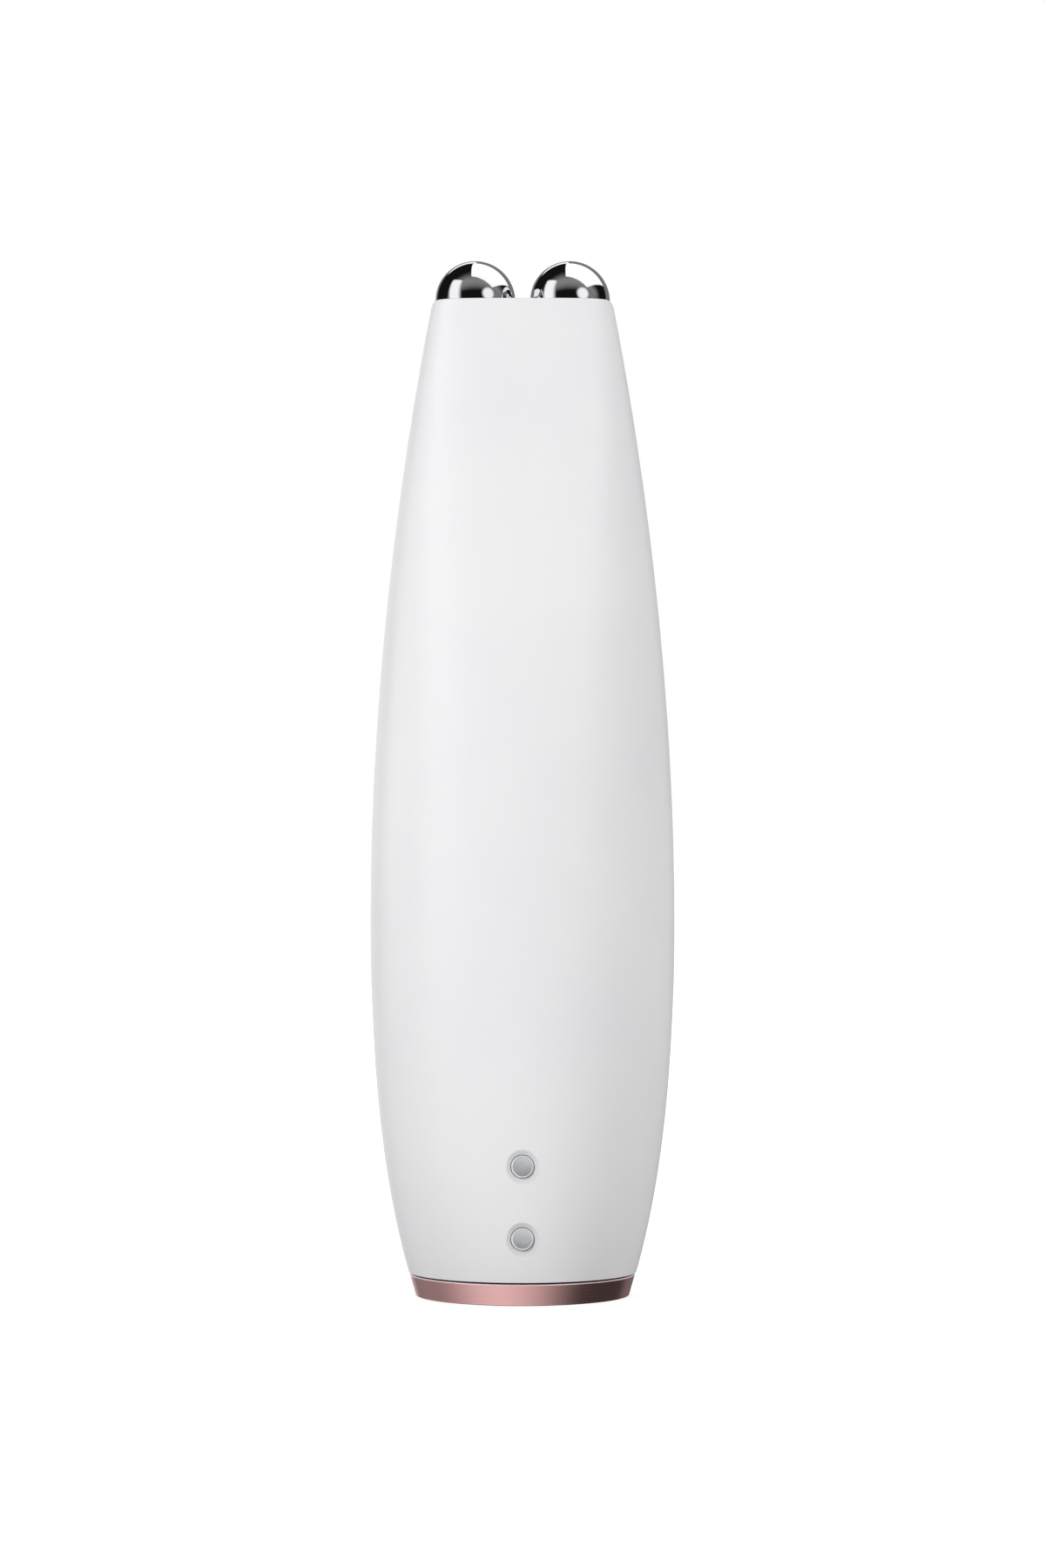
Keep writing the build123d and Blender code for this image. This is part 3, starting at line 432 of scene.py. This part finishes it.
def rose_cap():
    """The base cap, each ring the ellipse (a cos t, b sin t, z): a flat foot with a small round corner, a
    side that leans out in a straight line, a narrow bevel and a lip round the gasket, then the snap collar
    with its hook and the floor inside."""
    corner = np.linspace(-np.pi / 2, 0, CORNER_RINGS)
    foot = np.stack([CAP_FOOT + CAP_CORNER * (np.cos(corner) - 1), CAP_CORNER * (1 + np.sin(corner))], -1)
    share = np.append(np.linspace(SIDE_END_STRIP, 1 - SIDE_END_STRIP, SIDE_RINGS), 1)[:, None]
    side = (1 - share) * foot[-1] + share * np.array([CAP_TOP, CAP_HEIGHT - CAP_BEVEL])
    bevel = [
        (CAP_TOP - (1 - BEVEL_END_STRIP) * CAP_BEVEL, CAP_HEIGHT - BEVEL_END_STRIP * CAP_BEVEL),
        (CAP_TOP - CAP_BEVEL, CAP_HEIGHT),
    ]
    outside = np.concatenate([foot, side, bevel])
    inside = np.array(
        [
            (LIP_INNER, CAP_HEIGHT),
            (LIP_INNER, GASKET_SEAT),
            (COLLAR_OUTER, GASKET_SEAT),
            (COLLAR_OUTER, HOOK_BOTTOM),
            (COLLAR_OUTER + HOOK_REACH, HOOK_BOTTOM),
            (COLLAR_OUTER + HOOK_REACH, HOOK_TOP - HOOK_REACH),
            (COLLAR_OUTER, HOOK_TOP),
            (COLLAR_INNER, HOOK_TOP),
            (COLLAR_INNER, CAP_FLOOR),
        ]
    )
    a, height = np.hsplit(np.concatenate([outside, inside]), 2)
    b = np.concatenate([CAP_PROPORTION * outside[:, :1], inside[:, :1] - COLLAR_FLATTER])
    # t runs backwards, so that the faces point outwards
    t = np.linspace(0, 2 * np.pi, CAP_TURNS, endpoint=False)[::-1]
    rings = np.stack([a * np.cos(t), b * np.sin(t), height + 0 * t], -1)
    made = ring_solid(
        "rose_cap",
        rings,
        first=(0, 0, 0),
        last=(0, 0, CAP_FLOOR),
        bands=np.zeros(len(rings) + 1),
        smooth_strips=len(outside),
        materials=(pink_metal,),
    )
    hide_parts("base_cap")


charging_contact("contact_upper", "charging_pin_upper")
charging_contact("contact_lower", "charging_pin_lower")
rose_cap()


# ---------- floor and surround ----------
def sheet_mesh(name, points, material):
    """A mesh from a grid of points (rows, columns, 3)."""
    rows, columns = points.shape[:2]
    index = np.arange(rows * columns).reshape(rows, columns)
    quads = np.stack([index[:-1, :-1], index[:-1, 1:], index[1:, 1:], index[1:, :-1]], -1).reshape(-1, 4)
    mesh = bpy.data.meshes.new(name)
    mesh.from_pydata(points.reshape(-1, 3).tolist(), [], quads.tolist())
    mesh.materials.append(material)
    made = bpy.data.objects.new(name, mesh)
    bpy.context.scene.collection.objects.link(made)
    return made


def seen_by_eye_or_mirror(tree):
    """1 for camera, glossy and transmission rays, 0 for the rays that carry light."""
    path = tree.nodes.new("ShaderNodeLightPath")
    total = path.outputs["Is Camera Ray"]
    for name in ("Is Glossy Ray", "Is Transmission Ray"):
        larger = tree.nodes.new("ShaderNodeMath")
        larger.operation = "MAXIMUM"
        tree.links.new(total, larger.inputs[0])
        tree.links.new(path.outputs[name], larger.inputs[1])
        total = larger.outputs[0]
    return total


def floor_material(near, far, glow):
    """A pale diffuse floor that takes the shadow, greyer round the foot as painted shade that darkens the
    light it throws up onto the housing, with some white of its own to the eye."""
    s = Shader("studio_floor")
    away = s.vector_maths("LENGTH", s.coordinates(), output="Value")
    # painted shade: the floor is greyer round the foot, which darkens the light it throws up onto the housing
    share = s.spread(away, 0, 1, start=0.015, end=0.1)
    s.set(Base_Color=s.mix(share, (near, near, near, 1), (far, far, far, 1)))
    s.set(Roughness=0.9, Specular_IOR_Level=0.1, Emission_Color=WHITE)
    s.set(Emission_Strength=s.maths("MULTIPLY", seen_by_eye_or_mirror(s.tree), glow))
    return s.material


def studio_floor():
    """A flat square floor, the plane z = 0 at the height of the foot, which metal doesn't mirror."""
    side = (-FLOOR_HALF_WIDTH, FLOOR_HALF_WIDTH)
    x, y = np.meshgrid(side, side, indexing="ij")
    points = np.stack([x, y, 0 * x], -1)
    floor = sheet_mesh("floor", points, floor_material(near=0.42, far=0.68, glow=0.75))
    floor.visible_glossy = False


def world_light(strength):
    """A white surround: 1 to camera, glossy and transmission rays, and a lower strength as fill light."""
    world = bpy.data.worlds.new("studio_world")
    bpy.context.scene.world = world
    world.use_nodes = True
    tree = world.node_tree
    tree.nodes.clear()
    out = tree.nodes.new("ShaderNodeOutputWorld")
    mix = tree.nodes.new("ShaderNodeMixShader")
    tree.links.new(seen_by_eye_or_mirror(tree), mix.inputs["Fac"])
    tree.links.new(mix.outputs[0], out.inputs["Surface"])
    for socket, level in ((mix.inputs[1], strength), (mix.inputs[2], 1.0)):
        background = tree.nodes.new("ShaderNodeBackground")
        background.inputs["Color"].default_value = WHITE
        background.inputs["Strength"].default_value = level
        tree.links.new(background.outputs[0], socket)


# ---------- the tent that metal mirrors ----------
class TentShader(Shader):
    """A light that depends only on the direction from the tent's middle: (x, y, z) is a place on it, and
    (dx, dy, dz) the direction to it. A window is a share between 0 and 1, and its edges are soft steps."""

    def __init__(self, name):
        super().__init__(name)
        place = self.coordinates()
        self.direction = self.vector_maths("NORMALIZE", place)
        self.x, self.y, self.z = self.split(place)
        self.dx, self.dy, self.dz = self.split(self.direction)

    def over(self, value, edge, soft):
        """1 where the value is above the edge, 0 below it."""
        return self.spread(value, 0.0, 1.0, start=edge - soft, end=edge + soft, smooth=True)

    def under(self, value, edge, soft):
        """1 where the value is below the edge, 0 above it."""
        return self.spread(value, 1.0, 0.0, start=edge - soft, end=edge + soft, smooth=True)

    def larger(self, a, b):
        return self.maths("MAXIMUM", a, b)

    def leaning(self, value, other, lean):
        """The first value plus a multiple of the second, for an edge that leans."""
        return self.maths("ADD", value, self.maths("MULTIPLY", other, lean))

    def window(self, *steps):
        """The product of its steps."""
        share = steps[0]
        for step in steps[1:]:
            share = self.maths("MULTIPLY", share, step)
        return share

    def disc(self, direction, cosine, soft):
        """A round window about a direction, out to the angle with this cosine."""
        toward = tuple(Vector(direction).normalized())
        return self.over(self.vector_maths("DOT_PRODUCT", self.direction, toward, "Value"), cosine, soft)

    def back_card(self):
        """A grey card on the -Y side, which reaches further round at -X."""
        reaching = self.window(
            self.under(self.dx, 0.0, 0.02),
            self.under(self.leaning(self.dy, self.dx, 0.12), -0.7, 0.02),
        )
        return self.larger(reaching, self.under(self.leaning(self.dy, self.dx, -0.15), -0.86, 0.02))

    def overhead_panel(self, card):
        """A large panel from above the electrodes out to -X, measured on a level ceiling, that ends at the
        card."""
        above = self.larger(self.z, 0.02)
        across = self.maths("DIVIDE", self.x, above)
        along = self.maths("DIVIDE", self.y, above)
        return self.window(
            self.under(self.leaning(across, along, -0.077), 0.133, 0.015),
            self.over(self.leaning(across, along, -0.2), -1.47, 0.06),
            self.under(self.leaning(along, across, 0.35), 0.39, 0.06),
            self.maths("SUBTRACT", 1.0, card),
            self.over(self.dz, 0.1, 0.05),
        )

    def side_panel(self):
        """A tall panel at +X, measured on an upright wall."""
        beside = self.larger(self.x, 0.02)
        reach = self.maths("DIVIDE", self.y, beside)
        lift = self.maths("DIVIDE", self.z, beside)
        return self.window(
            self.over(self.x, 0.03, 0.02),
            self.over(self.leaning(reach, lift, 0.3), 0.22, 0.1),
            self.under(self.leaning(reach, lift, 0.19), 1.02, 0.28),
            self.under(self.leaning(lift, reach, -0.78), 1.05, 0.12),
            self.over(lift, -0.5, 0.3),
        )

    def high_strip(self):
        """A narrow strip high on the -Y side, a little to +X."""
        return self.window(
            self.over(self.dx, 0.0, 0.02),
            self.under(self.dx, 0.42, 0.04),
            self.over(self.dy, -0.87, 0.02),
            self.under(self.dy, -0.72, 0.02),
            self.over(self.dz, 0.49, 0.03),
        )

    def ceiling(self):
        """A dim ceiling on the +Y side that fades out with distance."""
        along = self.maths("DIVIDE", self.y, self.larger(self.z, 0.02))
        return self.window(
            self.over(self.dz, 0.15, 0.15),
            self.over(along, 0.28, 0.35),
            self.under(along, 1.25, 0.75),
        )

    def front_lamps(self):
        """Two round lamps on the -Y side, one level and one low."""
        level = self.disc((0.2, -0.97, -0.1), cosine=0.94, soft=0.02)
        low = self.disc((0, -0.75, -0.66), cosine=0.93, soft=0.03)
        return self.larger(level, low)

    def table_top(self):
        """The light of a table top: a low level all round, a broad lobe on the +Y side and a little to +X,
        and some more at +X that grows towards -Y."""
        facing = self.vector_maths("DOT_PRODUCT", self.direction, (0.37, 1.18, 0), "Value")
        lobe = self.maths("POWER", self.larger(facing, 0.0), 2.0)
        sideways = self.maths("MULTIPLY", self.larger(self.dx, 0.0), self.leaning(1.0, self.dy, -0.5))
        light = self.leaning(self.leaning(0.05, lobe, 1.0), sideways, 0.3)
        return self.maths("MULTIPLY", light, self.under(self.dz, -0.22, 0.12))


def tent_material():
    """Dark cloth all round a table top, with windows of light. Where two overlap, the brighter one shows."""
    s = TentShader("studio_tent")
    card = s.back_card()
    halo = s.disc((-0.85, 0.4, 0.28), cosine=0.925, soft=0.075)
    round_lamp = s.disc((-0.59, 0.724, 0.3), cosine=0.96, soft=0.026)
    strengths = (
        (card, 0.2),
        (halo, 0.22),
        (s.overhead_panel(card), 1.3),
        (s.side_panel(), 1.15),
        (round_lamp, 1.15),
        (s.high_strip(), 1.2),
        (s.ceiling(), 0.27),
        (s.front_lamps(), 0.75),
    )
    level = s.table_top()
    for window, strength in strengths:
        level = s.larger(level, s.maths("MULTIPLY", window, strength))
    s.set(Base_Color=BLACK, Roughness=1.0, Specular_IOR_Level=0.0)
    s.set(Emission_Color=WHITE, Emission_Strength=s.maths("ADD", level, TENT_CLOTH))
    return s.material


def studio_tent():
    """A ball-shaped tent round the object, radius times (sin a cos b, sin a sin b, cos a), which only glossy
    rays see."""
    rows = np.linspace(0, np.pi, TENT_ROWS)
    columns = np.linspace(0, 2 * np.pi, TENT_COLUMNS)
    a, b = np.meshgrid(rows, columns, indexing="ij")
    points = TENT_RADIUS * np.stack([np.sin(a) * np.cos(b), np.sin(a) * np.sin(b), np.cos(a)], -1)
    tent = sheet_mesh("studio_tent", points, tent_material())
    tent.location = TENT_MIDDLE
    tent.visible_camera = tent.visible_diffuse = tent.visible_shadow = tent.visible_transmission = False


# ---------- lamps and camera ----------
def softbox(name, azimuth, elevation, size, power):
    """A rectangular area lamp at a set distance from the middle of the housing, facing it. Its azimuth is
    counted from the charging side towards +X, in degrees. Metal mirrors the tent instead of the lamps."""
    turn, lift = math.radians(azimuth), math.radians(elevation)
    toward = Vector((math.cos(lift) * math.sin(turn), math.cos(lift) * math.cos(turn), math.sin(lift)))
    light = bpy.data.lights.new(name, "AREA")
    light.shape = "RECTANGLE"
    light.size, light.size_y = size
    light.energy = power
    lamp = bpy.data.objects.new(name, light)
    bpy.context.scene.collection.objects.link(lamp)
    lamp.location = Vector(HOUSING_MIDDLE) + LAMP_DISTANCE * toward
    lamp.rotation_euler = (-toward).to_track_quat("-Z", "Y").to_euler()
    lamp.visible_glossy = False


def level_camera(distance, height, lens):
    """A level camera on the charging side that looks along -Y."""
    data = bpy.data.cameras.new("camera")
    data.lens = lens
    data.sensor_width = 36
    data.sensor_fit = "AUTO"
    data.clip_start = 0.01
    camera = bpy.data.objects.new("camera", data)
    bpy.context.scene.collection.objects.link(camera)
    camera.location = (0, distance, height)
    camera.rotation_euler = (math.radians(90), 0, math.radians(180))
    bpy.context.scene.camera = camera


studio_floor()
studio_tent()
world_light(strength=0.4)
softbox("key", azimuth=40, elevation=22, size=(0.3, 0.3), power=2.05)
softbox("fill", azimuth=-40, elevation=1.5, size=(0.3, 0.12), power=0.93)
softbox("edge_left", azimuth=115, elevation=1.5, size=(0.3, 0.12), power=0.74)
softbox("edge_right", azimuth=-115, elevation=25, size=(0.3, 0.3), power=1.31)
softbox("front", azimuth=180, elevation=25, size=(0.4, 0.3), power=1.3)
level_camera(distance=0.480, height=0.05441, lens=103.37)
bpy.context.scene.view_settings.view_transform = "Standard"
